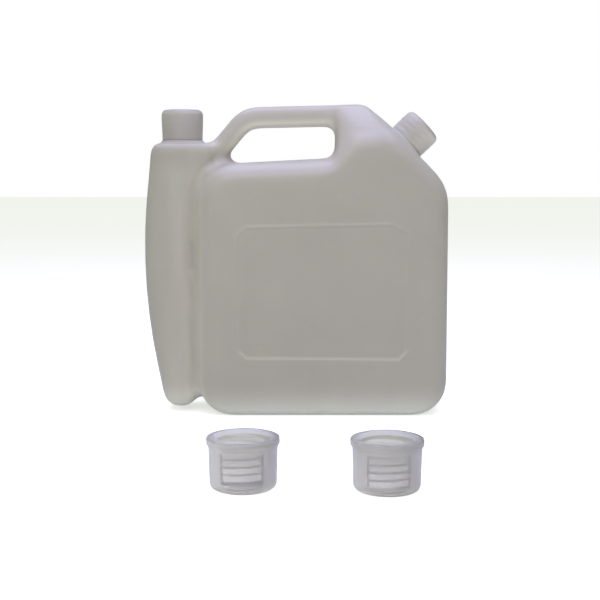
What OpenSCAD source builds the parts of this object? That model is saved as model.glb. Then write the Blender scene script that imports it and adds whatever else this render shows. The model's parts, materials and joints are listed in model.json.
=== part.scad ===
// Fuel mixing bottle: one blown bottle with a main tank, a side tube for oil
// and a hollow handle, and the two screw caps that close its necks.
// Millimetres. +X runs from the oil tube to the tank's far side, +Z is up, the
// front face looks along -Y. The origin is the centre of the tank's base.

/* [Tank] */
// Width of the tank, without the oil tube
tank_w = 171; // [160:1:200]
// Depth of the tank from front face to back face
tank_d = 62; // [56:1:80]
// Height of the tank's top where it meets the tower
tank_h = 176.6; // [168:0.2:180]
// Fall of the tank's top towards the oil tube, in degrees
tank_fall = 3; // [0:0.5:5]
// Rounding between the tank's faces and its sides
tank_edge = 12; // [8:1:15]
// Depth of the rounding that runs round the foot of both faces
tank_foot_edge = 6.5; // [4:0.5:12]
// Radius of the two lower corners, seen from the front
tank_foot_r = 23; // [18:1:32]
// Radius of the upper corner beside the oil tube
tank_crown_r = 25; // [18:1:30]
// Radius of the corner below the tank neck
tank_shoulder_r = 30; // [16:1:34]
// Thickness of the blown wall
wall = 1.4; // [1:0.1:2]

/* [Tower] */
// Height of the whole bottle, at the tower that carries the handle
bottle_h = 213; // [205:1:225]
// Distance from the tower's handle side to the tank's far side
tower_w = 76.5; // [70:0.5:90]
// Length of the tower's flat top
tower_top_w = 19.5; // [14:0.5:26]
// Depth of the sloping facets at the tower's top, measured downwards
tower_facet = 23; // [16:1:28]

/* [Handle] */
// Thickness of the grip bar, seen from the front
handle_t = 14.2; // [12:0.2:18]
// Depth of the grip bar from front to back
handle_d = 25; // [20:1:30]
// Rounding along the grip bar
handle_edge = 5.5; // [3:0.5:6]
// Length of the level part of the grip bar, from the tower to the outer bend
handle_run = 64.7; // [56:0.1:66]
// Fall of the grip bar towards the oil tube, in degrees
handle_fall = 1.3; // [0:0.1:3]
// Slope of the lower limb of the handle, in degrees
limb_slope = 50; // [46:1:55]
// Thickness of the lower limb, seen from the front
limb_t = 13.2; // [11:0.2:16]
// Radius of the handle's outer bend
bend_r = 24; // [16:1:30]

/* [Oil tube] */
// Height of the oil tube's shoulder
tube_h = 187; // [182:1:192]
// Height of the oil tube's rounded foot above the base
tube_foot_z = 3; // [0.5:0.5:6]
// Depth of the oil tube from front to back
tube_d = 40; // [34:1:48]
// Distance from the tank's side to the outer edge of the oil tube's foot
tube_foot_w = 24.3; // [22:0.1:28]
// Distance from the tank's side to the outer edge of the oil tube's shoulder
tube_shoulder_w = 31.2; // [29:0.2:36]
// How far the oil tube's outer side bows out
tube_bow = 7.6; // [4:0.2:10]
// Rounding between the oil tube's faces and its sides
tube_edge = 11; // [7:0.5:13]
// Rounding between the oil tube's faces and its shoulder
tube_shoulder_edge = 4.5; // [3:0.5:6]
// Thickness of the pinched web that joins tube and tank
web_t = 24; // [16:1:26]
// Height of the web's lower end above the base
web_z = 10; // [8:1:20]
// Depth of the limb's root from front to back
limb_root_d = 24; // [16:0.5:25]

/* [Necks] */
// Outside diameter of both necks, below the thread's crests
neck_d = 27.6; // [25:0.2:28]
// Wall of both necks
neck_wall = 1.4; // [1.4:0.1:2.4]
// Rounding of both lips
lip_r = 2.4; // [1.8:0.1:2.6]
// Distance from the tank's centre line to the middle of the tank neck's root
tank_neck_x = 57.3; // [50:0.1:60]
// Height of the middle of the tank neck's root
tank_neck_z = 186.8; // [184:0.2:192]
// Slope of the tank neck's axis, in degrees from level
tank_neck_tilt = 43.5; // [38:0.5:50]
// Length of the tank neck
tank_neck_len = 18.2; // [14:0.1:24]
// Length of the oil neck
oil_neck_len = 22.2; // [16:0.1:28]
// Distance from the tank's side to the oil neck's axis
oil_neck_out = 11.5; // [10:0.1:13]

/* [Label panel] */
// Width of the bead's outline
panel_w = 118; // [80:1:125]
// Height of the bead's outline on its taller side
panel_h = 93; // [60:1:100]
// Height of the panel's lower edge above the base
panel_z = 40; // [34:1:50]
// Difference in height between the panel's two sides
panel_rise = 2; // [0:0.5:4]
// Width of the bead
bead_w = 2; // [1.2:0.2:3]
// Height of the bead above the face
bead_h = 0.6; // [0.3:0.1:1]

/* [Caps] */
// Diameter of a cap's body
cap_d = 37; // [35:0.2:40]
// Height of a cap
cap_h = 27.5; // [24:0.5:32]
// Radial room between a neck and a cap's bore, which both threads share
thread_room = 0.9; // [0.8:0.1:1.3]
// Thickness of a cap's closed end
cap_end_t = 3; // [2:0.1:4]
// Width that the rim stands out from the body
rim_out = 1.1; // [0.5:0.1:1.5]
// Height of the rim's straight side
rim_h = 3.2; // [2:0.1:5]
// Rounding of the closed end
cap_end_r = 3.4; // [2:0.1:4]
// Diameter of the moulded sealing ring inside the closed end
seal_d = 22.6; // [20:0.1:24]
// Height of the sealing ring
seal_h = 1.2; // [0.6:0.1:2]
// Thickness of the sealing ring
seal_t = 1; // [0.6:0.1:1.6]
// Width of the step round the foot of a cap's bore
seat_in = 0.7; // [0.5:0.1:1]
// Distance in front of the bottle's middle plane at which the oil cap stands
caps_out = 194.6; // [120:0.2:260]
// How much further forward the tank cap stands
caps_skew = 3.6; // [-20:0.2:20]
// Sideways place of the oil cap
oil_cap_x = -46; // [-80:0.1:-25]
// Sideways place of the tank cap
tank_cap_x = 30.6; // [10:0.1:80]

/* [Hidden] */
$fn = 96;
milky = [0.86, 0.85, 0.83];
frosted = [0.8, 0.82, 0.83, 0.75];

// Longest turn in degrees, and longest arc, of one segment of a rounded corner
turn_step = 16;
arc_step = 22;

// Roundness of an edge's section: nearly a chamfer for the facets, or an ellipse
facet_round = 1.12;
full_round = 2;
half_w = tank_w / 2;
half_d = tank_d / 2;
tower_x = half_w - tower_w;
neck_r = neck_d / 2;
neck_bore_r = neck_r - neck_wall;
cap_bore_r = neck_r + thread_room;

// Unit vector down the shoulder that carries the tank neck
shoulder_dir = [sin(tank_neck_tilt), -cos(tank_neck_tilt)];
neck_root = [tank_neck_x, tank_neck_z];

// Small vector tools for points in the plane of the front view
function unit(v) = v / norm(v);
function turn(v, a) = [v[0] * cos(a) - v[1] * sin(a), v[0] * sin(a) + v[1] * cos(a)];
function cross2(u, v) = u[0] * v[1] - u[1] * v[0];
function bend_at(a, b, c) = acos(min(1, max(-1, unit(b - a) * unit(c - b))));
function flat(p) = [p[0], p[1]];

// Where the line through p along u meets the line through q along v
function meet(p, u, q, v) = p + u * cross2(q - p, v) / cross2(u, v);

// Number of segments that round the corner i of an outline of [x, z, radius]
function steps_at(corners, i) =
    let(n = len(corners))
    let(a = flat(corners[(i + n - 1) % n]), b = flat(corners[i]), c = flat(corners[(i + 1) % n]))
    let(bend = bend_at(a, b, c), arc = corners[i][2] * bend * PI / 180)
    max(2, ceil(bend / turn_step), ceil(arc / arc_step));

// Points of the arc that rounds one corner, each with its outward normal
function corner_arc(a, b, c, r, steps) =
    let(u = unit(b - a), v = unit(c - b), bend = bend_at(a, b, c), side = sign(cross2(u, v)))
    let(start = b - u * r * tan(bend / 2), out = turn(u, -90) * side)
    let(centre = start - out * r)
    [for (k = [0:steps]) let(q = turn(out, side * bend * k / steps)) [centre + q * r, q * side]];

// The whole outline, with the number of segments that guide asks for at each corner
function outline(corners, guide) =
    let(n = len(corners))
    [for (i = [0:n - 1]) each corner_arc(
        flat(corners[(i + n - 1) % n]), flat(corners[i]), flat(corners[(i + 1) % n]),
        corners[i][2], steps_at(guide, i))];

// One value for each point of an outline, from one value for each corner
function spread(values, guide) =
    [for (i = [0:len(guide) - 1]) for (k = [0:steps_at(guide, i)]) values[i]];

// A closed form with a flat front and back. rim holds its points and normals at
// the middle, face the flat's points, half the half depth of its straight side,
// and curve the roundness of its edge: 2 is an ellipse and 1 a chamfer.
module pillow(rim, face, half, curve, depth, inset, steps) {
    n = len(rim);
    angles = [for (k = [0:steps]) 90 - 90 * k / steps];
    function ring(a, s) = [for (i = [0:n - 1])
        let(p = rim[i][0] - rim[i][1] * inset, full = depth / 2 - inset)
        let(in = 1 - pow(cos(a), 2 / curve[i]), up = pow(sin(a), 2 / curve[i]))
        let(q = p + (face[i] - p) * in)
        [q[0], s * (half[i] + (full - half[i]) * up), q[1]]];
    points = concat(
        [for (a = angles) each ring(a, -1)],
        [for (k = [0:steps]) each ring(angles[steps - k], 1)]);
    rings = 2 * steps + 1;
    sides = [for (k = [0:rings - 1]) for (i = [0:n - 1])
        let(j = (i + 1) % n, a = k * n + i, b = k * n + j, c = (k + 1) * n + j, d = (k + 1) * n + i)
        each [[a, b, c], [a, c, d]]];
    front = [[for (i = [0:n - 1]) n - 1 - i]];
    back = [[for (i = [0:n - 1]) rings * n + i]];
    polyhedron(points, concat(front, sides, back), convexity = 6);
}

// A pillow whose edge is equally wide all round
module even_pillow(corners, edge, depth, inset, steps) {
    rim = outline(corners, corners);
    pillow(
        rim,
        [for (p = rim) p[0] - p[1] * edge],
        [for (p = rim) depth / 2 - edge],
        [for (p = rim) full_round],
        depth, inset, steps);
}

// A pillow whose edge differs from corner to corner
module shaped_pillow(corners, face, half, curve, depth, inset) {
    pillow(
        outline(corners, corners),
        [for (p = outline(face, corners)) p[0]],
        spread(half, corners),
        spread(curve, corners),
        depth, inset, 5);
}

// Radii of the tank's corners above its shoulder
neck_corner_r = 12;
tower_far_r = 10;
tower_near_r = 3;
tower_foot_r = 6.5;

// Places of the front face's corners under the facets, from the outline's corners
// above them, and the radii of those corners
neck_facet = [-6, -3, 14];
far_facet = [8, 0.5, 12];
near_facet = [tank_edge + 1, -2, 10];
bay_corner = [0, -tank_edge - 1, 22];

// How much wider the shoulder's flats are than the neck, and how far the bay that
// takes the fingers draws in
neck_seat = 0.8;
neck_flat = 1.5;
bay_in = 2;

// The tank's corners run from the foot beside the oil tube to the far foot, the
// shoulder, the neck, the tower's two top corners, the tower's foot and the crown
crown_z = tank_h - (tower_x + half_w) * tan(tank_fall);
shoulder_z = tank_neck_z - (half_w - tank_neck_x) / tan(tank_neck_tilt);
neck_top = neck_root - shoulder_dir * (neck_r + neck_seat);
facet_z = bottle_h - tower_facet;
tank_rim = [
    [-half_w, 0, tank_foot_r],
    [half_w, 0, tank_foot_r],
    [half_w, shoulder_z, tank_shoulder_r],
    [neck_top[0], neck_top[1], neck_corner_r],
    [tower_x + tower_top_w, bottle_h, tower_far_r],
    [tower_x, bottle_h - tower_top_w * tan(handle_fall), tower_near_r],
    [tower_x, tank_h, tower_foot_r],
    [-half_w, crown_z, tank_crown_r]
];
tank_face = [
    [-half_w + tank_edge, tank_edge, tank_foot_r - tank_edge],
    [half_w - tank_edge, tank_edge, tank_foot_r - tank_edge],
    [half_w - tank_edge, shoulder_z - tank_edge / 2, tank_shoulder_r - tank_edge / 2],
    [tank_neck_x, facet_z, 0] + neck_facet,
    [tower_x + tower_top_w, facet_z, 0] + far_facet,
    [tower_x, facet_z, 0] + near_facet,
    [tower_x, tank_h, 0] + bay_corner,
    [-half_w + tank_edge, crown_z - tank_edge, tank_crown_r - tank_edge]
];
tank_side = half_d - tank_edge;
foot_side = half_d - tank_foot_edge;
neck_side = neck_r + neck_flat;
grip_side = handle_d / 2;
tank_half = [
    foot_side, foot_side, tank_side, neck_side,
    grip_side, grip_side, tank_side - bay_in, tank_side
];
tank_curve = [
    full_round, full_round, full_round, facet_round,
    facet_round, facet_round, full_round, full_round
];

module tank_form(inset) {
    shaped_pillow(tank_rim, tank_face, tank_half, tank_curve, tank_d, inset);
}

// The oil tube's corners run from its foot's outer side to the foot's inner side,
// up the inner side, to the shoulder's two ends and down the bowed outer side
foot_r = 11.5;
foot_gap = 1;
waist_at = 0.56;
waist_gap = 5;
waist_r = 150;
chest_drop = 34;
chest_gap = 4;
chest_r = 40;
shoulder_reach = 17;
shoulder_in_r = 6.5;
shoulder_out_r = 7;
bow_at = 0.52;
bow_span = 0.42;
tube_face_r = 2;
foot_out = -half_w - tube_foot_w;
foot_in = -half_w - foot_gap;
waist_z = tube_h * waist_at;
waist_in = foot_in - waist_gap;
chest_z = tube_h - chest_drop;
chest_in = foot_in - chest_gap;
shoulder_in = -half_w + shoulder_reach;
shoulder_out = -half_w - tube_shoulder_w;
bow_x = (foot_out + shoulder_out) / 2 - 2 * tube_bow;
bow_z = tube_h * bow_at;
bow_r = pow(tube_h * bow_span, 2) / (2 * tube_bow);
tube_rim = [
    [foot_out, tube_foot_z, foot_r],
    [foot_in, tube_foot_z, foot_r],
    [waist_in, waist_z, waist_r],
    [chest_in, chest_z, chest_r],
    [shoulder_in, tube_h, shoulder_in_r],
    [shoulder_out, tube_h, shoulder_out_r],
    [bow_x, bow_z, bow_r]
];
tube_face = [
    [foot_out + tube_edge, tube_foot_z + tube_edge, tube_face_r],
    [foot_in - tube_edge, tube_foot_z + tube_edge, tube_face_r],
    [waist_in - tube_edge, waist_z, waist_r - tube_edge],
    [chest_in - tube_edge, chest_z, chest_r + tube_edge],
    [shoulder_in - tube_edge, tube_h - tube_shoulder_edge, tube_face_r],
    [shoulder_out + tube_edge, tube_h - tube_shoulder_edge, tube_face_r],
    [bow_x + tube_edge, bow_z, bow_r]
];
tube_side = tube_d / 2 - tube_edge;
tube_top_side = tube_d / 2 - tube_shoulder_edge;
tube_half = [
    tube_side, tube_side, tube_side, tube_side,
    tube_top_side, tube_top_side, tube_side
];

module tube_form(inset) {
    shaped_pillow(
        tube_rim, tube_face, tube_half, [for (c = tube_rim) full_round], tube_d, inset);
}

// The handle's corners run from the inner bend into the tower, back over the
// grip to the outer bend and down the limb. reach is how far the limb runs on
// below the oil tube's shoulder.
inner_bend_r = 11;
grip_sink = 8;
grip_end_r = 2;
limb_end_r = 5.8;
limb_sink = 9;
limb_open = 4;
grip_dir = [cos(handle_fall), sin(handle_fall)];
limb_dir = [cos(limb_slope), sin(limb_slope)];
grip_in = tower_x + grip_sink;
grip_start = [tower_x + tower_top_w, bottle_h];
function grip_top(x) = grip_start[1] - (grip_start[0] - x) * tan(handle_fall);
function handle_rim(reach) =
    let(bend = [tower_x - handle_run, grip_top(tower_x - handle_run)])
    let(inner = meet(bend + turn(limb_dir, -90) * limb_t, limb_dir, bend - [0, handle_t], grip_dir))
    let(foot = bend - limb_dir * ((bend[1] - tube_h + reach) / limb_dir[1]))
    let(foot_in = foot + turn(limb_dir, -90) * limb_t)
    [
        [inner[0], inner[1], inner_bend_r],
        [grip_in, grip_top(grip_in) - handle_t, grip_end_r],
        [grip_in, grip_top(grip_in), grip_end_r],
        [bend[0], bend[1], bend_r],
        [foot[0], foot[1], limb_end_r],
        [foot_in[0], foot_in[1], limb_end_r]
    ];

module handle_form(inset, reach) {
    even_pillow(handle_rim(reach), handle_edge, handle_d, inset, 4);
}

// The pinched joint between the tube and the tank, with the root of the limb
web_corner_r = 4.5;
web_edge = 4;
web_into_tube = 12;
web_into_tank = 6;
web_top_drop = 10;
root_corner_r = 6;
root_edge = 5.5;
root_drop = 2.4 * limb_t;

module web() {
    web_top = tube_h - web_top_drop;
    web_out = foot_in - web_into_tube;
    web_in = -half_w + web_into_tank;
    even_pillow(
        [for (p = [[web_out, web_z], [web_in, web_z], [web_in, web_top], [web_out, web_top]])
            concat(p, [web_corner_r])],
        web_edge, web_t, 0, 3);
    grip = handle_rim(0);
    outer = flat(grip[4]);
    inner = flat(grip[5]);
    even_pillow(
        [for (p = [
            outer + [-limb_t, -root_drop],
            outer + [limb_t * 0.1, -root_drop],
            [inner[0] + limb_t * 0.32, crown_z - root_corner_r],
            inner + [-limb_t * 0.24, limb_t * 0.3],
            outer + limb_dir * limb_t * 0.15
        ]) concat(p, [root_corner_r])],
        root_edge, limb_root_d, 0, 3);
}

// The raised bead that frames the label panel on the front face, with its corners
// cut off and its lower edge falling a little towards the far side
panel_cut = 6;
panel_fall = 0.8;
bead_sink = 1;

module panel_bead() {
    left = -panel_w / 2;
    top = panel_z + panel_h;
    function frame(in) = [
        [left + in, panel_z + panel_cut], [left + panel_cut, panel_z + in],
        [-left - panel_cut, panel_z + in - panel_fall], [-left - in, panel_z + panel_cut],
        [-left - in, top - panel_cut], [-left - 2 * panel_cut, top - in],
        [left + panel_cut, top - panel_rise - in], [left + in, top - panel_rise - panel_cut]
    ];
    translate([0, bead_sink - half_d, 0]) rotate([90, 0, 0])
        linear_extrude(bead_sink + bead_h) difference() {
            polygon(frame(0));
            polygon(frame(bead_w));
        }
}

// A neck standing on the origin: a tube with a rounded lip, whose bore opens out a
// little at the lip and flares at the root, which is sunk into the blown wall
lip_open = 0.8;
root_flare = 1.1;
root_sink = wall / 2;

module neck_tube(length) {
    rotate_extrude() intersection() {
        union() {
            translate([neck_r - 2 * lip_r, -root_sink])
                square([2 * lip_r, length + root_sink - lip_r]);
            translate([neck_r - lip_r, length - lip_r]) circle(lip_r);
        }
        polygon([
            [neck_bore_r + root_flare, -root_sink], [neck_r, -root_sink], [neck_r, length],
            [neck_bore_r + lip_open, length], [neck_bore_r, length - 2 * lip_open],
            [neck_bore_r, root_flare]
        ]);
    }
}

module at_tank_neck() {
    translate([neck_root[0], 0, neck_root[1]]) rotate([0, 90 - tank_neck_tilt, 0]) children();
}

module at_oil_neck() {
    translate([-half_w - oil_neck_out, 0, tube_h]) children();
}

// The way from a neck into the chamber below it, flared so that the blown wall
// turns smoothly up into the neck. The neck's root covers its upper edge.
module wall_hole() {
    lap = (neck_bore_r + neck_r) / 2;
    translate([0, 0, -3 * wall]) cylinder(h = 3 * wall, r1 = lap + 3 * wall, r2 = lap, $fn = 40);
    cylinder(h = 3 * wall, r = lap, $fn = 40);
}

// The blown skin as one piece: its resize() keeps every size as it is and joins
// the forms into one closed surface
module blown_skin() {
    resize([0, 0, 0]) difference() {
        union() {
            tank_form(0);
            tube_form(0);
            handle_form(0, limb_sink);
            web();
            panel_bead();
        }
        tank_form(wall);
        tube_form(wall);
        handle_form(wall, -limb_open);
        at_tank_neck() wall_hole();
        at_oil_neck() wall_hole();
    }
}

module bottle() {
    color(milky) {
        blown_skin();
        at_tank_neck() neck_tube(tank_neck_len);
        at_oil_neck() neck_tube(oil_neck_len);
    }
}

// One moulded screw cap, open side up
module screw_cap(x, out) {
    body_r = cap_d / 2;
    rim_r = body_r + rim_out;
    color(frosted) translate([x, -out, 0]) rotate_extrude() difference() {
        union() {
            square([body_r - cap_end_r, cap_h]);
            translate([0, cap_end_r]) square([body_r, cap_h - cap_end_r]);
            intersection() {
                translate([body_r - cap_end_r, cap_end_r]) circle(cap_end_r);
                square(body_r);
            }
            polygon([
                [0, cap_h - rim_h - 2 * rim_out], [body_r, cap_h - rim_h - 2 * rim_out],
                [rim_r, cap_h - rim_h], [rim_r, cap_h], [0, cap_h]
            ]);
        }
        difference() {
            union() {
                translate([0, cap_end_t + seal_h]) square([cap_bore_r, cap_h]);
                translate([0, cap_end_t]) square([cap_bore_r - seat_in, cap_h]);
            }
            translate([seal_d / 2 - seal_t, 0]) square([seal_t, cap_end_t + seal_h]);
        }
    }
}

module tank_cap() {
    screw_cap(tank_cap_x, caps_out + caps_skew);
}

module oil_cap() {
    screw_cap(oil_cap_x, caps_out);
}

bottle();
tank_cap();
oil_cap();
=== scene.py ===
"""A blown fuel mixing bottle with its two screw caps taken off, in natural plastic."""

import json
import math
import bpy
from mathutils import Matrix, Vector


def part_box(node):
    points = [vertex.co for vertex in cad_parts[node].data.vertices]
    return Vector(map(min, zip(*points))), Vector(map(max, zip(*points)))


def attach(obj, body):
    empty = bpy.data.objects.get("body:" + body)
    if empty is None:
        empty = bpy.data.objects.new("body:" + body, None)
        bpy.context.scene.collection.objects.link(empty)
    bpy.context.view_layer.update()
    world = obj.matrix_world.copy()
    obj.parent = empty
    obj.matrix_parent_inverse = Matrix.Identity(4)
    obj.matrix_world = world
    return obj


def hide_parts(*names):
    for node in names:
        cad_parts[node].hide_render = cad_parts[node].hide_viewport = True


bl_info = {
    "name": "Fuel Mixing Bottle",
    "version": (1, 0, 0),
    "blender": (4, 5, 0),
    "location": "3D View > Sidebar > Bottle",
    "description": "Builds a blown mixing bottle and its caps over their CAD model",
    "category": "Object",
}

import bmesh
import bpy
from mathutils import Matrix, Vector

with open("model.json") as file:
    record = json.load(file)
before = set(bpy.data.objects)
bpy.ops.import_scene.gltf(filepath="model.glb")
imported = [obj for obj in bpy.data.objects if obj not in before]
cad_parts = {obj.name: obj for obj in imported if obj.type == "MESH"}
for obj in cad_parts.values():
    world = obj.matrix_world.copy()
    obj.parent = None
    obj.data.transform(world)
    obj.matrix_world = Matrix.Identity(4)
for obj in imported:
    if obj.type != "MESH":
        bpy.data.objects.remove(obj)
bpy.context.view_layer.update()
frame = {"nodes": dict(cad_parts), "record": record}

MM = 0.001


def mount(name):
    """Point and unit axis of one of the record's mounts"""
    found = next(m for m in frame["record"]["mounts"] if m["name"] == name)
    return Vector(found["pos_m"]), Vector(found["axis"]).normalized()


def mount_size(name, size):
    """One size of one of the record's mounts, in metres"""
    found = next(m for m in frame["record"]["mounts"] if m["name"] == name)
    return found["dims"][size] * MM


def colour(name, about, default):
    return bpy.props.FloatVectorProperty(
        name=name, description=about, default=default, subtype="COLOR", size=3, min=0.0, max=1.0
    )


def length(name, about, default):
    return bpy.props.FloatProperty(
        name=name, description=about, default=default * MM, unit="LENGTH", precision=5
    )


def share(name, about, default):
    return bpy.props.FloatProperty(
        name=name, description=about, default=default, subtype="FACTOR", min=0.0, max=1.0
    )


class SkinSizes(bpy.types.PropertyGroup):
    """The blown skin of the bottle"""

    cell: length("Cell", "Size of the even cells that the outside is made of", 1.45)
    inner_cell: length("Inner cell", "Size of the cells of the inside", 2.8)
    wall: length("Wall", "Thickness of the blown wall", 1.4)
    valley: length("Valley", "Smallest radius in the valleys between the forms", 3.0)
    soften: bpy.props.IntProperty(
        name="Softening", description="Rounds that soften the creases", default=5, min=0
    )
    bead: length("Bead", "Height of the bead round the label panel", 0.36)
    bead_width: length("Bead width", "Width of the bead's soft section", 3.6)


class NeckSizes(bpy.types.PropertyGroup):
    """Both threaded necks"""

    wall: length("Wall", "Thickness of a neck", 1.4)
    lip: length("Lip", "Length of the lip beyond the thread's end", 2.7)
    roll: length("Lip rounding", "How far down the lip's outer rounding reaches", 3.8)
    pitch: length("Pitch", "Pitch of the thread", 4.0)
    ridge: length("Ridge", "Height of the thread's ridge", 0.13)
    worn_ridge: length("Soft ridge", "Height of the softer thread on the oil neck", 0.07)
    ridge_width: length("Ridge width", "Width of the thread's ridge at its root", 3.6)
    flare: length("Flare", "How much the oil neck widens towards its lip", 0.45)


class CapSizes(bpy.types.PropertyGroup):
    """Both screw caps"""

    pitch: length("Pitch", "Pitch of the inner thread", 4.1)
    ridge: length("Ridge", "Height of the inner thread's ridge", 0.7)
    ridge_width: length("Ridge width", "Width of the inner thread's ridge at its root", 4.0)
    arc: bpy.props.FloatProperty(
        name="Arc", description="Half the angle that each run of the thread takes up",
        default=math.radians(43), subtype="ANGLE",
    )
    rim: length("Rim", "Height of the rim's straight side", 3.2)
    rim_out: length("Rim width", "How far the rim stands out", 1.1)
    foot: length("Foot", "Rounding of the closed end", 3.4)
    end: length("End", "Thickness of the closed end", 3.0)
    ring: length("Ring", "Height of the sealing ring", 1.2)


class PlasticLooks(bpy.types.PropertyGroup):
    """Colours and gloss of the two plastics, and the painted light and shade in their colours"""

    milky: colour("Milky", "Natural blown polyethylene", (0.452, 0.423, 0.328))
    # Painted light: the milky colour made lighter and greener at the foot, standing in for light
    # that comes up from the floor
    milky_painted_foot_light: colour(
        "Milky, low", "The same at the foot, where light comes up through it", (0.86, 0.88, 0.71)
    )
    milky_gloss: share("Milky roughness", "Roughness of the blown surface", 0.42)
    # Painted light that fills the shade in creases
    milky_painted_crease_light: share("Crease glow", "How much lighter the plastic is in creases", 0.28)
    # Painted light that fills the shade in the groove beside the tube
    milky_painted_groove_light: share("Groove glow", "How much lighter the sides of the groove are", 0.17)
    # Painted light on the handle's underside, standing in for light that comes up from below and
    # through it
    milky_painted_under_light: share("Handle glow", "How much lighter the underside of the handle is", 0.95)
    milky_glow: share("Milky glow", "How far light spreads inside the blown wall", 0.6)
    frosted: colour("Frosted", "Natural moulded polypropylene", (0.795, 0.78, 0.725))
    # Painted shade: the frosted colour darkened in the thread's grooves, so that the thread
    # shows through the wall
    frosted_painted_groove_shade: colour("Frosted, deep", "The same in the thread's grooves", (0.27, 0.27, 0.27))
    frosted_gloss: share("Frosted roughness", "Roughness of the moulded surface", 0.28)
    frosted_clear: share("Frosted clearness", "How much light passes straight through", 0.80)


class StageSettings(bpy.types.PropertyGroup):
    """Camera, floor and lights"""

    eye: bpy.props.FloatVectorProperty(
        name="Camera", description="Place of the camera", default=(-0.01561, -0.7566, 0.1685),
        subtype="TRANSLATION", size=3,
    )
    down: bpy.props.FloatProperty(
        name="Pitch", description="How far the camera looks down", default=math.radians(6.878),
        subtype="ANGLE",
    )
    lens: bpy.props.FloatProperty(
        name="Lens", description="Focal length in millimetres", default=64.758, min=1.0
    )
    room: colour("Room", "Colour of the light from all sides", (0.94, 1.0, 0.83))
    top: colour("Top", "Colour of the soft box above", (0.565, 0.607, 1.0))
    fore: colour("Fore", "Colour of the soft box above and before it", (0.44, 0.38, 1.0))
    front: colour("Front", "Colour of the soft box in front", (0.97, 1.0, 0.69))
    paper: colour("Paper", "Colour of the floor", (0.80, 0.80, 0.80))


# Shared steps for meshes


def finish_piece(name, bm, material, node):
    """Turns a bmesh into a piece that stands for a CAD node"""
    mesh = bpy.data.meshes.new(name)
    bm.to_mesh(mesh)
    bm.free()
    mesh.materials.append(material)
    mesh.shade_smooth()
    piece = bpy.data.objects.new(name, mesh)
    bpy.context.scene.collection.objects.link(piece)
    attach(piece, "root")
    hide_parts(node)


def islands(bm):
    """Groups of faces that hang together"""
    left = set(bm.faces)
    groups = []
    while left:
        seed = left.pop()
        group, open_faces = [seed], [seed]
        while open_faces:
            face = open_faces.pop()
            for edge in face.edges:
                for other in edge.link_faces:
                    if other in left:
                        left.remove(other)
                        group.append(other)
                        open_faces.append(other)
        groups.append(group)
    return groups


def along(point, origin, axis):
    """Height above origin along axis, and distance from the axis"""
    offset = point - origin
    height = offset.dot(axis)
    return height, (offset - axis * height).length


def upright(origin, axis):
    """Places a shape that stands on the origin along Z onto an axis"""
    return Matrix.Translation(origin) @ axis.to_track_quat("Z", "Y").to_matrix().to_4x4()


def turned(section, steps):
    """A bmesh with a section of (radius, height) points spun round Z"""
    bm = bmesh.new()
    verts = [bm.verts.new((r, 0.0, z)) for r, z in section]
    edges = [bm.edges.new(pair) for pair in zip(verts, verts[1:])]
    bmesh.ops.spin(
        bm, geom=verts + edges, cent=(0, 0, 0), axis=(0, 0, 1), dvec=(0, 0, 0),
        angle=2 * math.pi, steps=steps, use_merge=True, use_normal_flip=False,
        use_duplicate=False,
    )
    bmesh.ops.remove_doubles(bm, verts=bm.verts, dist=1e-6)
    bmesh.ops.recalc_face_normals(bm, faces=bm.faces)
    return bm


def join_into(bm, other):
    """Adds another bmesh's shape and frees it"""
    mesh = bpy.data.meshes.new("joined")
    other.to_mesh(mesh)
    other.free()
    bm.from_mesh(mesh)
    bpy.data.meshes.remove(mesh)


def from_middle(co, middles):
    """Angle round Z from the nearest of some bearings"""
    bearing = math.atan2(co.y, co.x)
    turn = 2 * math.pi
    return min(abs((bearing - m + math.pi) % turn - math.pi) for m in middles)


def raise_thread(
    verts, radius, out, width, pitch, start, turns, angle, crest=1.6, middles=(), arc=0.0
):
    """Raises a helical ridge on the points of a cylinder round Z that lie at the radius:
    outwards for a positive out and inwards for a negative one. Its ends run out to
    nothing, and where middles are given it is kept to an arc on both sides of each. A
    higher crest makes its top broader."""
    slack, run_out, arc_end = 0.02 * MM, 0.1, math.radians(3)
    for v in verts:
        reach = math.hypot(v.co.x, v.co.y)
        if abs(reach - radius) > slack:
            continue
        bearing = ((math.atan2(v.co.y, v.co.x) - angle) / (2 * math.pi)) % 1.0
        turn = (v.co.z - start) / pitch
        nearest = round(turn - bearing) + bearing
        off = abs(turn - nearest) * pitch / (width / 2)
        end = min(nearest, turns - nearest)
        if off >= 1.0 or end <= 0.0:
            continue
        rise = smooth_step(end / run_out)
        if middles:
            rise *= smooth_step((arc - from_middle(v.co, middles)) / arc_end)
        scale = (reach + out * rise * (0.5 + 0.5 * math.cos(math.pi * off ** crest))) / reach
        v.co.x *= scale
        v.co.y *= scale


def smooth_step(t):
    """From 0 at 0 to 1 at 1, with soft ends"""
    t = min(1.0, max(0.0, t))
    return t * t * (3 - 2 * t)


def fade(value, first, last):
    """From 0 at first to 1 at last"""
    return smooth_step((value - first) / (last - first))


def stepped(first, last, step):
    """Even steps from first to last, both included"""
    count = max(1, round(abs(last - first) / step))
    return [first + (last - first) * k / count for k in range(count + 1)]


# The bottle


def bottle_necks():
    """(root, axis, radius, length without the lip) of both necks"""
    found = []
    for name in ("tank_neck", "oil_neck"):
        centre, axis = mount(name)
        straight = mount_size(name, "length_mm")
        found.append((centre - axis * straight / 2, axis, mount_size(name, "r_mm"), straight))
    return found


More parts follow.
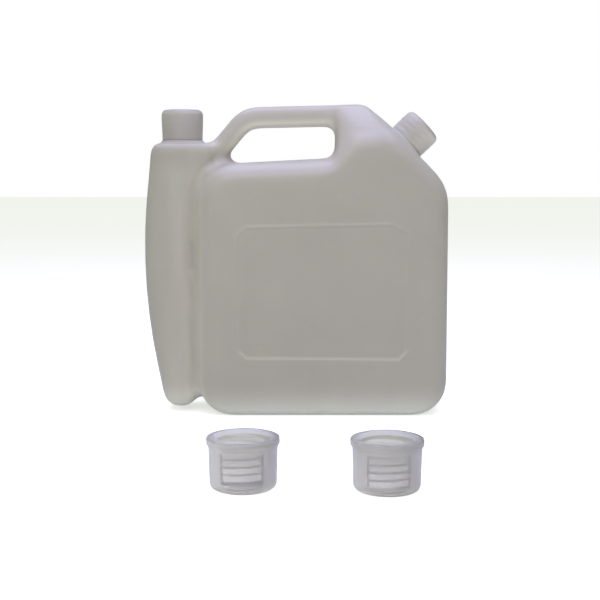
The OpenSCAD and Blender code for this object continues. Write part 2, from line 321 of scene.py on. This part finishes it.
def outer_form(necks):
    """The outside of the blown bottle as one closed form, without its necks and bead"""
    bm = bmesh.new()
    bm.from_mesh(frame["nodes"]["bottle"].data)
    bmesh.ops.remove_doubles(bm, verts=bm.verts, dist=0.002 * MM)
    for root, axis, radius, _ in necks:
        gone = []
        for face in bm.faces:
            spots = [along(v.co, root, axis) for v in face.verts]
            if all(h > -1.0 * MM and d < radius + 0.05 * MM for h, d in spots):
                gone.append(face)
        bmesh.ops.delete(bm, geom=gone, context="FACES")
    groups = islands(bm)
    keep = set(max(groups, key=lambda g: max(f.calc_center_median().length for f in g)))
    bmesh.ops.delete(bm, geom=[f for f in bm.faces if f not in keep], context="FACES")
    rims = [e for e in bm.edges if len(e.link_faces) == 1]
    filled = bmesh.ops.holes_fill(bm, edges=rims, sides=0)["faces"]
    bmesh.ops.triangulate(bm, faces=[f for f in filled if len(f.verts) > 4])
    front = -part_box("bottle")[1].y
    for v in bm.verts:
        v.co.y = max(v.co.y, front)
    bmesh.ops.recalc_face_normals(bm, faces=bm.faces)
    return bm


def in_cells(bm, cell):
    """Frees a closed form and returns it remade in even cells"""
    mesh = bpy.data.meshes.new("form")
    bm.to_mesh(mesh)
    bm.free()
    holder = bpy.data.objects.new("form", mesh)
    bpy.context.scene.collection.objects.link(holder)
    remesh = holder.modifiers.new("cells", "REMESH")
    remesh.mode = "VOXEL"
    remesh.voxel_size = cell
    remesh.adaptivity = 0.0
    graph = bpy.context.evaluated_depsgraph_get()
    graph.update()
    even = bpy.data.meshes.new_from_object(holder.evaluated_get(graph))
    bpy.data.objects.remove(holder)
    bpy.data.meshes.remove(mesh)
    made = bmesh.new()
    made.from_mesh(even)
    bpy.data.meshes.remove(even)
    return made


def soften(bm, verts, rounds):
    """Evens out some of the points for some rounds"""
    for _ in range(rounds):
        bmesh.ops.smooth_vert(
            bm, verts=verts, factor=0.5, use_axis_x=True, use_axis_y=True, use_axis_z=True
        )


def soften_facet_foot(bm):
    """Fades the lower edge of the sloping facet into the front and back faces, most of all
    in the middle of the fade"""
    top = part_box("bottle")[1].z
    below_top, middle, first_x, last_x = 24 * MM, 12 * MM, 14 * MM, 70 * MM
    for reach, rounds in ((15.0, 10), (11.0, 12), (8.0, 16)):
        band = [
            v for v in bm.verts
            if abs(v.co.z - top + below_top) < reach * MM and abs(v.co.y) > middle
            and first_x < v.co.x < last_x
        ]
        soften(bm, band, rounds)


def move_out(bm, by):
    """Moves every point outwards along its normal"""
    bm.normal_update()
    for v in bm.verts:
        v.co += v.normal * by


def fill_valleys(bm, radius, cell):
    """Gives every valley at least this radius: the form is grown, remade and shrunk again"""
    bm = in_cells(bm, cell)
    move_out(bm, radius)
    bm = in_cells(bm, cell)
    soften(bm, bm.verts, 3)
    move_out(bm, -radius)
    return bm


def open_mouths(bm, necks, inset):
    """Cuts the skin away inside each neck's wall, from below its root to above it"""
    below, above = 3 * MM, 12 * MM
    for root, axis, radius, _ in necks:
        gone = []
        for face in bm.faces:
            height, distance = along(face.calc_center_median(), root, axis)
            if -below < height < above and distance < radius - inset:
                gone.append(face)
        bmesh.ops.delete(bm, geom=gone, context="FACES")


def neck(root, axis, radius, straight, sizes, ridge, turns, start, angle, flare=0.0):
    """One threaded neck: a tube with a rounded lip that narrows the mouth a little, open at
    both ends of its bore. It starts somewhat below its root, inside the skin."""
    wall, roll, sides = sizes.wall, sizes.roll, 96
    sunk, step, edge = 1.2 * MM, 0.45 * MM, 0.25 * MM
    full = straight + sizes.lip
    inward = 0.8 * roll
    low, mouth, bore = full - roll, radius - inward, radius - wall
    section = [(radius, z) for z in stepped(-sunk, low, step)]
    section += [
        (mouth + inward * math.cos(t), low + roll * math.sin(t))
        for t in [math.radians(a) for a in range(10, 91, 10)]
    ]
    section += [
        (mouth - edge, full - edge), (mouth - edge, full - 0.8 * MM),
        (mouth, full - 1.3 * MM), (bore, full - 2.8 * MM), (bore, 1.0 * MM),
        (bore + 0.25 * wall, -0.2 * MM), (bore + 0.55 * wall, -sunk), (radius, -sunk),
    ]
    bm = turned(section, sides)
    raise_thread(
        bm.verts, radius, ridge, sizes.ridge_width, sizes.pitch, start, turns, angle
    )
    for v in bm.verts:
        wider = 1.0 + flare / radius * fade(v.co.z, 0.0, straight)
        v.co.x *= wider
        v.co.y *= wider
    bmesh.ops.transform(bm, matrix=upright(root, axis), verts=bm.verts)
    return bm


def panel_runs():
    """Straight runs of the middle of the label panel's bead, as pairs of (x, z) in metres:
    cut is the size of its cut corners, and fall and rise slope its long runs a little"""
    left, low, high, cut, fall, rise = -0.058, 0.0406, 0.132, 0.006, 0.0008, 0.002
    corners = [
        Vector(c) for c in (
            (left, low + cut), (left + cut, low), (-left - cut, low - fall),
            (-left, low + cut), (-left, high - cut), (-left - 2 * cut, high),
            (left + cut, high - rise), (left, high - rise - cut),
        )
    ]
    return list(zip(corners, corners[1:] + corners[:1]))


def from_runs(co, runs):
    """Distance from a point to the nearest run, seen from the front"""
    spot = Vector((co.x, co.z))
    best = 1.0
    for first, last in runs:
        run = last - first
        t = min(1.0, max(0.0, (spot - first).dot(run) / run.length_squared))
        best = min(best, (spot - first - run * t).length)
    return best


def ridge_at(co, runs, half):
    """Height of the bead's soft section at a point, as a share of its full height"""
    return 0.5 + 0.5 * math.cos(math.pi * min(1.0, from_runs(co, runs) / half))


def raise_bead(bm, sizes):
    """Raises the soft bead that frames the label panel on the front face"""
    behind_front = -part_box("bottle")[1].y + 1.0 * MM
    runs, half = panel_runs(), sizes.bead_width / 2
    finer = half + 1.2 * MM
    close = {
        v for v in bm.verts if v.co.y < behind_front and from_runs(v.co, runs) < finer
    }
    edges = [e for e in bm.edges if e.verts[0] in close and e.verts[1] in close]
    bmesh.ops.subdivide_edges(bm, edges=edges, cuts=1, use_grid_fill=True)
    for v in bm.verts:
        if v.co.y < behind_front:
            v.co.y -= sizes.bead * ridge_at(v.co, runs, half)


def blend(points, rounds):
    """Each point's place after some rounds of averaging with its neighbours"""
    around = [[e.other_vert(v).index for e in v.link_edges] for v in points]
    places = [v.co.copy() for v in points]
    for _ in range(rounds):
        places = [
            place * 0.5 + sum((places[k] for k in near), Vector()) * (0.5 / max(1, len(near)))
            for place, near in zip(places, around)
        ]
    return places


# Small patches of painted light and shade that look lighter or darker from the front, as
# (x, z, reach, change): the foot of the web, the crease at the tube's shoulder, the pocket
# beside the handle's limb, the crease below it and the foot of the limb
PAINTED_LIGHT_PATCHES = (
    (-87.0, 14.0, 5.0, 0.25), (-74.0, 183.0, 5.0, 0.20), (-67.0, 174.0, 5.0, -0.20),
    (-73.0, 175.0, 6.0, -0.08), (-64.0, 182.0, 4.0, 0.12),
)
# How strongly the cooler painted light shows in red, green and blue
PAINTED_COOL_LIGHT_TINT = (1.0, 0.95, 1.45)
# The lightest that a tone may be
LIGHTEST = 0.95
# The tank neck's and the oil neck's level of tone, with how much lighter painted light makes
# the ring round the root and the underside
NECK_TONES_AND_PAINTED_LIGHT = ((0.98, 0.20, 0.55), (0.97, 0.0, 0.0))


def painted_light_at(x, y, z, normal, crease, looks):
    """How much lighter painted light makes the plastic at a point, in millimetres, than on the
    flat front: a cooler share stands in for light that falls on and comes through the thin
    upper parts, and a plain share, with a little painted shade, for light that gathers in
    creases or comes up from below"""
    side, up = abs(normal.x + 0.15), normal.z
    # The forms: the groove beside the tube, wider below, the handle and the tank's top
    wide = fade(z, 110, 50)
    groove = fade(x, -108 - 5 * wide, -100) * fade(x, -78, -86) * fade(z, 178, 160)
    grip = fade(z, 176, 186) * fade(abs(y), 17, 12) * fade(x, 15, 9) * fade(x, -72, -58)
    slope = fade(z, 150, 172) * fade(up, 0.0, 0.35) * fade(x, -74, -62) * fade(x, 58, 42)
    slope *= 1.0 - fade(up, 0.72, 0.92) * fade(z, 182, 188)
    # The cooler painted light: tank's top, handle, tower's near side and the tower's upper edge
    cool_painted_light = 0.11 * slope * (1.0 - 0.7 * grip)
    cool_painted_light += grip * (0.09 + 0.10 * fade(x, -5, 8)) * (1.0 - fade(up, 0.0, 0.4))
    near_side = fade(-normal.x, 0.3, 0.9) * fade(x, -6, 2) * fade(x, 30, 20)
    cool_painted_light += 0.12 * fade(z, 176, 186) * near_side
    cool_painted_light += 0.13 * fade(z, 181, 186) * fade(z, 196, 191) * fade(x, 14, 24) * fade(x, 42, 32)
    # The plain painted light and shade: creases, groove, what faces down, the tube's two ends
    # and the patches
    plain = looks.milky_painted_crease_light * crease * (1.0 - groove)
    plain += groove * (0.08 + looks.milky_painted_groove_light * fade(side, 0.2, 0.8) * (1 + 0.25 * wide))
    # Painted light on what faces down, standing in for light from below
    painted_under_light = fade(z, 150, 170) * fade(-up, -0.05, 0.75)
    plain += looks.milky_painted_under_light * painted_under_light * (0.35 + 0.6 * grip)
    # Painted light at the tube's foot and painted shade at its shoulder
    shoulder = fade(z, 168, 178) * fade(up, 0.4, 0.2)
    plain += fade(x, -88, -95) * (0.09 * fade(z, 60, 12) - 0.05 * shoulder)
    for at_x, at_z, reach, change in PAINTED_LIGHT_PATCHES:
        plain += change * math.exp(-((x - at_x) ** 2 + (z - at_z) ** 2) / reach ** 2)
    return cool_painted_light, plain


def paint_skin(bm, sizes, looks):
    """Gives each point its tone with painted light, lighter at the foot and wherever painted
    light is added
    """
    bm.normal_update()
    bm.verts.index_update()
    bm.verts.ensure_lookup_table()
    tone = bm.verts.layers.float_color.new("tone")
    runs, half = panel_runs(), sizes.bead_width / 2
    deep_crease, face_y, foot_height, foot_power = 0.5 * MM, -28.0, 26, 2.3
    for v, place in zip(bm.verts, blend(bm.verts, 12)):
        x, y, z = v.co / MM
        # How deep a crease is, which sets how much painted light goes into it
        crease = smooth_step((place - v.co).dot(v.normal) / deep_crease)
        cool_painted_light, plain = painted_light_at(x, y, z, v.normal, crease, looks)
        # Painted highlight on the lower run of the panel's bead
        if y < face_y:
            plain += 0.2 * ridge_at(v.co, runs, half) * fade(z, 48, 44)
        # Painted light from below: the tone turns towards the lighter foot colour over the
        # lowest 26 mm
        low = max(0.0, min(1.0, (foot_height - z) / foot_height)) ** foot_power
        v[tone] = (*(
            min(LIGHTEST, (body + (foot - body) * low) * (1.0 + plain + cool_painted_light * tint))
            for body, foot, tint in zip(looks.milky, looks.milky_painted_foot_light, PAINTED_COOL_LIGHT_TINT)
        ), 1.0)


def paint_neck(bm, place, looks, level, ring, painted_under_light):
    """Gives a neck its own level of the plain tone, with painted light that makes a lighter
    ring round its root, a lighter underside and a slightly lighter upper part, and painted
    shade that makes a slightly deeper lip"""
    root, axis, radius, straight = place
    tone = bm.verts.layers.float_color["tone"]
    end = straight / MM
    for v in bm.verts:
        height, distance = along(v.co, root, axis)
        if height > -3.0 * MM and distance < radius + 3.0 * MM:
            height /= MM
            own = fade(height, -1.5, 1.5) * (distance < radius + 1.2 * MM)
            # Painted light on the ring round the root, the underside and the upper part, and
            # painted shade on the lip's top
            factor = 1.0 + ring * math.exp(-((height / 2.5) ** 2))
            factor *= 1.0 + painted_under_light * fade(-v.normal.z, -0.35, 0.6)
            factor *= 1.0 + 0.06 * fade(height, 8.0, end)
            factor *= 1.0 - 0.24 * fade(height, end + 0.8, end + 2.2)
            for k, (body, hue) in enumerate(zip(looks.milky, (1.0, 1.0, 1.06))):
                plain = v[tone][k] + (body * hue * level - v[tone][k]) * own
                v[tone][k] = min(LIGHTEST, plain * factor)


class BOTTLE_OT_blow_skin(bpy.types.Operator):
    """Blow the bottle's skin, its two threaded necks and the bead of its label panel"""

    bl_idname = "bottle.blow_skin"
    bl_label = "Blow the bottle"

    def execute(self, context):
        skin = context.scene.bottle_skin
        sizes = context.scene.bottle_necks
        necks = bottle_necks()
        looks = context.scene.bottle_plastic
        form = fill_valleys(outer_form(necks), skin.valley, skin.cell * 1.15)
        for root, axis, radius, _ in necks:
            stub = bmesh.new()
            bmesh.ops.create_cone(
                stub, cap_ends=True, segments=64, radius1=radius, radius2=radius,
                depth=6.0 * MM,
            )
            bmesh.ops.transform(stub, matrix=upright(root, axis), verts=stub.verts)
            join_into(form, stub)
        outer = in_cells(form, skin.cell)
        inner = in_cells(outer.copy(), skin.inner_cell)
        soften(outer, outer.verts, skin.soften)
        soften_facet_foot(outer)
        move_out(outer, 0.06 * MM)
        soften(inner, inner.verts, 2)
        move_out(inner, -skin.wall)
        open_mouths(outer, necks, 0.8 * MM)
        open_mouths(inner, necks, 0.3 * MM)
        raise_bead(outer, skin)
        bmesh.ops.reverse_faces(inner, faces=inner.faces)
        join_into(outer, inner)
        tank, oil = necks
        join_into(outer, neck(
            *tank, sizes, sizes.ridge, turns=2.9, start=2.6 * MM, angle=1.2
        ))
        join_into(outer, neck(
            *oil, sizes, sizes.worn_ridge, turns=2.3, start=8.0 * MM, angle=-0.6,
            flare=sizes.flare,
        ))
        paint_skin(outer, skin, looks)
        for place, shades in zip(necks, NECK_TONES_AND_PAINTED_LIGHT):
            paint_neck(outer, place, looks, *shades)
        finish_piece(
            "blown_bottle", outer, milky_plastic(looks), "bottle"
        )
        return {"FINISHED"}


# The caps


def cap_section(sizes, low, high, bore):
    """Section of a cap as (radius, height) points, from the closed end's middle outside,
    over the rim, down the bore and to the end's middle inside"""
    rim_r = (high.x - low.x) / 2
    body_r = rim_r - sizes.rim_out
    foot_r = body_r - 0.5 * MM
    top = high.z - low.z
    foot, dish, lip = sizes.foot, 0.35 * MM, 0.5 * MM
    arc = [
        (foot_r - foot + foot * math.sin(a), foot - foot * math.cos(a))
        for a in [math.radians(v) for v in range(0, 91, 10)]
    ]
    collar = top - sizes.rim
    slope = 1.6 * sizes.rim_out
    outside = [
        (0.0, dish), (foot_r * 0.5, dish), (foot_r * 0.52, 0.0), *arc,
        (body_r, collar - slope - 0.25 * MM), (body_r + 0.15 * MM, collar - slope + 0.15 * MM),
        (rim_r - 0.15 * MM, collar - 0.2 * MM), (rim_r, collar + 0.2 * MM),
        (rim_r, top - lip), (rim_r - 0.3 * lip, top - 0.3 * lip), (rim_r - lip, top),
    ]
    floor, ring_r = sizes.end, 11.3 * MM
    ring_top, seat = floor + sizes.ring, bore - 0.7 * MM
    mouth = [(bore + 1.3 * MM, top), (bore + 0.9 * MM, top - 0.3 * MM)]
    wall = [(bore, z) for z in stepped(top - 1.8 * MM, ring_top, 0.42 * MM)]
    inside = [
        (seat, ring_top - 0.3 * MM), (seat, floor), (ring_r, floor),
        (ring_r - 0.1 * MM, ring_top), (ring_r - 0.9 * MM, ring_top),
        (ring_r - 1.0 * MM, floor), (0.0, floor),
    ]
    return outside + mouth + wall + inside


# Bearings of the middles of the inner thread's two runs
FRONT_AND_BACK = (-math.pi / 2, math.pi / 2)
# Each cap's name, the angle at which its thread starts and its level of the frosted tone, which
# is painted shade that makes the tank cap a little darker
CAPS = (("oil", 0.0, 1.0), ("tank", math.pi, 0.955))


def paint_cap(bm, sizes, looks, bore, top, level):
    """Gives each point its tone and haze: hazy inside, with painted shade deeper in the
    thread's grooves and along the upright edges of its runs, and painted light paler on
    the lower ridges; painted light also lightens one side and the closed end, and painted
    shade darkens the other side, the top edge, the mouth and the far inside"""
    tone = bm.verts.layers.float_color.new("tone")
    haze = bm.verts.layers.float.new("haze")
    first, last = sizes.end + sizes.ring, top - 6.5 * MM
    on_bore, on_mouth, arc_edge = bore + 0.05 * MM, bore + 1.35 * MM, math.radians(1.6)
    for v in bm.verts:
        reach = math.hypot(v.co.x, v.co.y)
        # Painted light and shade: the cap darker on its right side and lighter on its left,
        # where light falls
        pale = level * (0.96 - 0.10 * math.cos(math.atan2(v.co.y, v.co.x)))
        pale *= 1.0 - 0.05 * smooth_step((v.co.z - top + sizes.rim + 1.0 * MM) / MM)
        # Painted light, lighter towards the closed end at the bottom
        pale *= 1.0 + 0.13 * smooth_step((5.0 * MM - v.co.z) / (3 * MM))
        # Painted shade on the top edge and the mouth
        if v.co.z > top - 0.2 * MM or on_bore < reach < on_mouth:
            pale *= 0.8
        depth = 0.0
        inside = reach < on_mouth and v.co.z > sizes.end - 0.1 * MM
        if inside and first < v.co.z < last and reach < on_bore:
            off = from_middle(v.co, FRONT_AND_BACK) - sizes.arc
            if off < 0.0:
                ridge = (bore - reach) / sizes.ridge
                fore = 1.0 if v.co.y < 0.0 else 0.3
                # Painted shade in the grooves, mostly on the front
                depth = 0.92 * fore * (1.0 - smooth_step(ridge * 1.6))
                # Painted highlight, paler on the ridges and most of all on the lower ones
                pale += 0.35 * fore * ridge * smooth_step((last - v.co.z) / (last - first))
            # Painted shade along the upright edges of the runs
            if abs(off) < arc_edge:
                depth = 0.85
        # Painted shade on the far side of the inside
        if inside and v.co.y > 0.0:
            pale *= 0.93
        v[haze] = 1.0 if inside else 0.0
        v[tone] = (*(
            (clear + (deep - clear) * depth) * pale
            for clear, deep in zip(looks.frosted, looks.frosted_painted_groove_shade)
        ), 1.0)


def moulded_cap(node, sizes, looks, material, angle, level):
    """One cap with its inner thread, which runs on the front and back of the bore"""
    low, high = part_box(node)
    bore = mount_size(node + "_bore", "r_mm")
    bm = turned(cap_section(sizes, low, high, bore), 180)
    for bearing, ridge in zip(FRONT_AND_BACK, (sizes.ridge, 0.35 * sizes.ridge)):
        raise_thread(
            bm.verts, bore, -ridge, sizes.ridge_width, sizes.pitch,
            start=sizes.end + 2.6 * MM, turns=4.4, angle=angle, crest=2.6,
            middles=(bearing,), arc=sizes.arc,
        )
    paint_cap(bm, sizes, looks, bore, high.z - low.z, level)
    middle = (low + high) / 2
    bmesh.ops.transform(
        bm, matrix=Matrix.Translation((middle.x, middle.y, low.z)), verts=bm.verts
    )
    finish_piece(node + "_moulded", bm, material, node)


class BOTTLE_OT_mould_caps(bpy.types.Operator):
    """Mould the two screw caps with their inner threads, open side up"""

    bl_idname = "bottle.mould_caps"
    bl_label = "Mould the caps"

    def execute(self, context):
        sizes = context.scene.bottle_caps
        looks = context.scene.bottle_plastic
        material = frosted_plastic(looks)
        for which, angle, level in CAPS:
            moulded_cap(which + "_cap", sizes, looks, material, angle, level)
        return {"FINISHED"}


# Materials


def blank_material(name):
    """A new material with its node tree and output"""
    material = bpy.data.materials.new(name)
    material.use_nodes = True
    tree = material.node_tree
    tree.nodes.clear()
    output = tree.nodes.new("ShaderNodeOutputMaterial")
    return material, tree, output


def maths(tree, operation, *values):
    """The result of one sum over one or two linked values"""
    node = tree.nodes.new("ShaderNodeMath")
    node.operation = operation
    for k, value in enumerate(values):
        tree.links.new(value, node.inputs[k])
    return node.outputs[0]


def noise(tree, coordinates, scale, detail, roughness=0.5):
    """Even noise at the scale"""
    node = tree.nodes.new("ShaderNodeTexNoise")
    node.inputs["Scale"].default_value = scale
    node.inputs["Detail"].default_value = detail
    node.inputs["Roughness"].default_value = roughness
    tree.links.new(coordinates, node.inputs["Vector"])
    return node.outputs["Fac"]


def mapped(tree, value, low, high, to_low, to_high):
    """A value taken from one range to another"""
    node = tree.nodes.new("ShaderNodeMapRange")
    for key, number in zip(
        ("From Min", "From Max", "To Min", "To Max"), (low, high, to_low, to_high)
    ):
        node.inputs[key].default_value = number
    tree.links.new(value, node.inputs["Value"])
    return node.outputs["Result"]


def mixed(tree, factor, first, second):
    """A mix of two colours"""
    node = tree.nodes.new("ShaderNodeMix")
    node.data_type = "RGBA"
    node.inputs[6].default_value = (*first, 1.0)
    node.inputs[7].default_value = (*second, 1.0)
    tree.links.new(factor, node.inputs[0])
    return node.outputs[2]


def attribute(tree, name, output):
    """A value painted on the mesh's points"""
    node = tree.nodes.new("ShaderNodeAttribute")
    node.attribute_name = name
    return node.outputs[output]


def scaled(tree, tint, factor):
    """A colour times a number"""
    node = tree.nodes.new("ShaderNodeVectorMath")
    node.operation = "SCALE"
    tree.links.new(tint, node.inputs[0])
    tree.links.new(factor, node.inputs["Scale"])
    return node.outputs[0]


def seen_directly(tree):
    """1 for rays from the camera, also through clear plastic, and 0 for all others"""
    rays = tree.nodes.new("ShaderNodeLightPath").outputs
    return maths(tree, "MAXIMUM", rays["Is Camera Ray"], rays["Is Transmission Ray"])


def milky_plastic(looks):
    """Natural blown polyethylene: satin, milky and a little cloudy, with a fine parting
    line all round and a few specks"""
    material, tree, output = blank_material("Milky blown polyethylene")
    place = tree.nodes.new("ShaderNodeTexCoord").outputs["Object"]
    plastic = tree.nodes.new("ShaderNodeBsdfPrincipled")
    cloud = mapped(tree, noise(tree, place, 22.0, 3.0, 0.5), 0.3, 0.7, 0.975, 1.02)
    specks = tree.nodes.new("ShaderNodeTexVoronoi")
    specks.inputs["Scale"].default_value = 55.0
    tree.links.new(place, specks.inputs["Vector"])
    speck = mapped(tree, specks.outputs["Distance"], 0.025, 0.05, 1.09, 1.0)
    varied = maths(tree, "MULTIPLY", cloud, speck)
    # The painted tone, which holds the plastic's colour with painted light and shade, varied by
    # the cloud and the specks
    tree.links.new(
        scaled(tree, attribute(tree, "tone", "Color"), varied), plastic.inputs["Base Color"]
    )
    skin = noise(tree, place, 420.0, 4.0, 0.6)
    tree.links.new(
        mapped(tree, skin, 0.35, 0.65, looks.milky_gloss - 0.03, looks.milky_gloss + 0.05),
        plastic.inputs["Roughness"],
    )
    axes = tree.nodes.new("ShaderNodeSeparateXYZ")
    tree.links.new(place, axes.inputs[0])
    side = maths(tree, "ABSOLUTE", axes.outputs["Y"])
    seam = mapped(tree, side, 0.15 * MM, 0.5 * MM, 0.5, 0.0)
    height = maths(tree, "ADD", mapped(tree, skin, 0.0, 1.0, 0.0, 0.12), seam)
    bump = tree.nodes.new("ShaderNodeBump")
    bump.inputs["Strength"].default_value = 0.5
    bump.inputs["Distance"].default_value = 0.3 * MM
    tree.links.new(height, bump.inputs["Height"])
    tree.links.new(bump.outputs["Normal"], plastic.inputs["Normal"])
    plastic.subsurface_method = "RANDOM_WALK"
    plastic.inputs["Subsurface Weight"].default_value = looks.milky_glow
    plastic.inputs["Subsurface Radius"].default_value = (1.0, 0.95, 0.85)
    plastic.inputs["Subsurface Scale"].default_value = 3.5 * MM
    plastic.inputs["IOR"].default_value = 1.5
    tree.links.new(plastic.outputs["BSDF"], output.inputs["Surface"])
    return material


def frosted_plastic(looks):
    """Natural moulded polypropylene: hazy, and clear enough for the threads to show"""
    material, tree, output = blank_material("Frosted moulded polypropylene")
    place = tree.nodes.new("ShaderNodeTexCoord").outputs["Object"]
    plastic = tree.nodes.new("ShaderNodeBsdfPrincipled")
    cloud = mapped(tree, noise(tree, place, 90.0, 3.0, 0.5), 0.3, 0.7, 0.96, 1.02)
    # The painted tone, which holds the plastic's colour with painted light and shade, varied by
    # the cloud
    tree.links.new(
        scaled(tree, attribute(tree, "tone", "Color"), cloud), plastic.inputs["Base Color"]
    )
    for socket, outside, change in (
        ("Roughness", looks.frosted_gloss, 0.24),
        ("Transmission Weight", looks.frosted_clear, -0.35),
    ):
        haze = attribute(tree, "haze", "Fac")
        tree.links.new(
            mapped(tree, haze, 0.0, 1.0, outside, outside + change), plastic.inputs[socket]
        )
    plastic.inputs["IOR"].default_value = 1.4
    plastic.inputs["Specular IOR Level"].default_value = 0.35
    tree.links.new(plastic.outputs["BSDF"], output.inputs["Surface"])
    return material


# The stage


# Size of each soft box, and the point that all of them face
BOX_SIZE = (0.9, 0.7)
AIM = Vector((0.0, 0.0, 0.1))


def soft_box(name, place, tint, power):
    """One large soft lamp that faces the bottle"""
    lamp = bpy.data.lights.new(name, "AREA")
    lamp.shape = "RECTANGLE"
    lamp.size, lamp.size_y = BOX_SIZE
    lamp.energy = power
    lamp.color = tint
    box = bpy.data.objects.new(name, lamp)
    box.location = place
    box.rotation_euler = (AIM - Vector(place)).to_track_quat("-Z", "Y").to_euler()
    bpy.context.scene.collection.objects.link(box)
    box.visible_camera = False


def paper_material(tint):
    """Pale floor that looks white where nothing shades it"""
    material, tree, output = blank_material("Pale paper floor")
    matt = tree.nodes.new("ShaderNodeBsdfDiffuse")
    place = tree.nodes.new("ShaderNodeTexCoord").outputs["Object"]
    grain = noise(tree, place, 90.0, 2.0)
    low = tuple(c * 0.985 for c in tint)
    tree.links.new(mixed(tree, grain, low, tint), matt.inputs["Color"])
    glow = tree.nodes.new("ShaderNodeEmission")
    level = mapped(tree, seen_directly(tree), 0.0, 1.0, 0.0, 0.58)
    tree.links.new(level, glow.inputs["Strength"])
    total = tree.nodes.new("ShaderNodeAddShader")
    tree.links.new(matt.outputs["BSDF"], total.inputs[0])
    tree.links.new(glow.outputs["Emission"], total.inputs[1])
    tree.links.new(total.outputs["Shader"], output.inputs["Surface"])
    return material


def room_world(tint, strength):
    """Even light from all sides, which is pure white to look at"""
    world = bpy.data.worlds.new("Pale room")
    world.use_nodes = True
    tree = world.node_tree
    tree.nodes.clear()
    output = tree.nodes.new("ShaderNodeOutputWorld")
    light = tree.nodes.new("ShaderNodeBackground")
    light.inputs["Color"].default_value = (*tint, 1.0)
    light.inputs["Strength"].default_value = strength
    white = tree.nodes.new("ShaderNodeBackground")
    white.inputs["Color"].default_value = (1.0, 1.0, 1.0, 1.0)
    mix = tree.nodes.new("ShaderNodeMixShader")
    tree.links.new(seen_directly(tree), mix.inputs[0])
    tree.links.new(light.outputs[0], mix.inputs[1])
    tree.links.new(white.outputs[0], mix.inputs[2])
    tree.links.new(mix.outputs[0], output.inputs["Surface"])
    return world


class BOTTLE_OT_set_stage(bpy.types.Operator):
    """Set the floor, the soft lights, the pale room and the camera"""

    bl_idname = "bottle.set_stage"
    bl_label = "Set the stage"

    def execute(self, context):
        scene = context.scene
        stage = scene.bottle_stage
        bm = bmesh.new()
        bmesh.ops.create_grid(bm, x_segments=8, y_segments=8, size=6.0)
        mesh = bpy.data.meshes.new("paper_floor")
        bm.to_mesh(mesh)
        bm.free()
        mesh.materials.append(paper_material(stage.paper))
        floor = bpy.data.objects.new("paper_floor", mesh)
        scene.collection.objects.link(floor)
        soft_box("top_box", (0.0, 0.05, 0.95), stage.top, power=6.9)
        soft_box("fore_box", (0.0, -0.5, 0.85), stage.fore, power=4.5)
        soft_box("front_box", (-0.25, -1.3, 0.75), stage.front, power=5.0)
        scene.world = room_world(stage.room, strength=0.403)
        lens = bpy.data.cameras.new("camera")
        lens.sensor_width = 36.0
        lens.lens = stage.lens
        lens.clip_start = 0.01
        lens.clip_end = 30.0
        camera = bpy.data.objects.new("camera", lens)
        camera.location = stage.eye
        camera.rotation_euler = (math.pi / 2 - stage.down, 0.0, 0.0)
        scene.collection.objects.link(camera)
        scene.camera = camera
        scene.view_settings.view_transform = "Standard"
        return {"FINISHED"}


class BOTTLE_PT_parts(bpy.types.Panel):
    """Lists the steps that build the bottle"""

    bl_label = "Fuel Mixing Bottle"
    bl_idname = "BOTTLE_PT_parts"
    bl_space_type = "VIEW_3D"
    bl_region_type = "UI"
    bl_category = "Bottle"

    def draw(self, context):
        column = self.layout.column()
        for step in STEPS:
            column.operator(step.bl_idname)
        for group, owner in GROUPS.items():
            box = self.layout.box()
            box.label(text=owner.__doc__)
            settings = getattr(context.scene, group)
            for key in owner.__annotations__:
                box.prop(settings, key)


STEPS = (BOTTLE_OT_blow_skin, BOTTLE_OT_mould_caps, BOTTLE_OT_set_stage)
GROUPS = {
    "bottle_skin": SkinSizes,
    "bottle_necks": NeckSizes,
    "bottle_caps": CapSizes,
    "bottle_plastic": PlasticLooks,
    "bottle_stage": StageSettings,
}
CLASSES = (*GROUPS.values(), *STEPS, BOTTLE_PT_parts)


def register():
    for each in CLASSES:
        bpy.utils.register_class(each)
    for name, owner in GROUPS.items():
        setattr(bpy.types.Scene, name, bpy.props.PointerProperty(type=owner))


def unregister():
    for name in GROUPS:
        delattr(bpy.types.Scene, name)
    for each in reversed(CLASSES):
        bpy.utils.unregister_class(each)


def main():
    register()
    bpy.ops.bottle.set_stage()
    bpy.ops.bottle.blow_skin()
    bpy.ops.bottle.mould_caps()


if __name__ == "__main__":
    main()
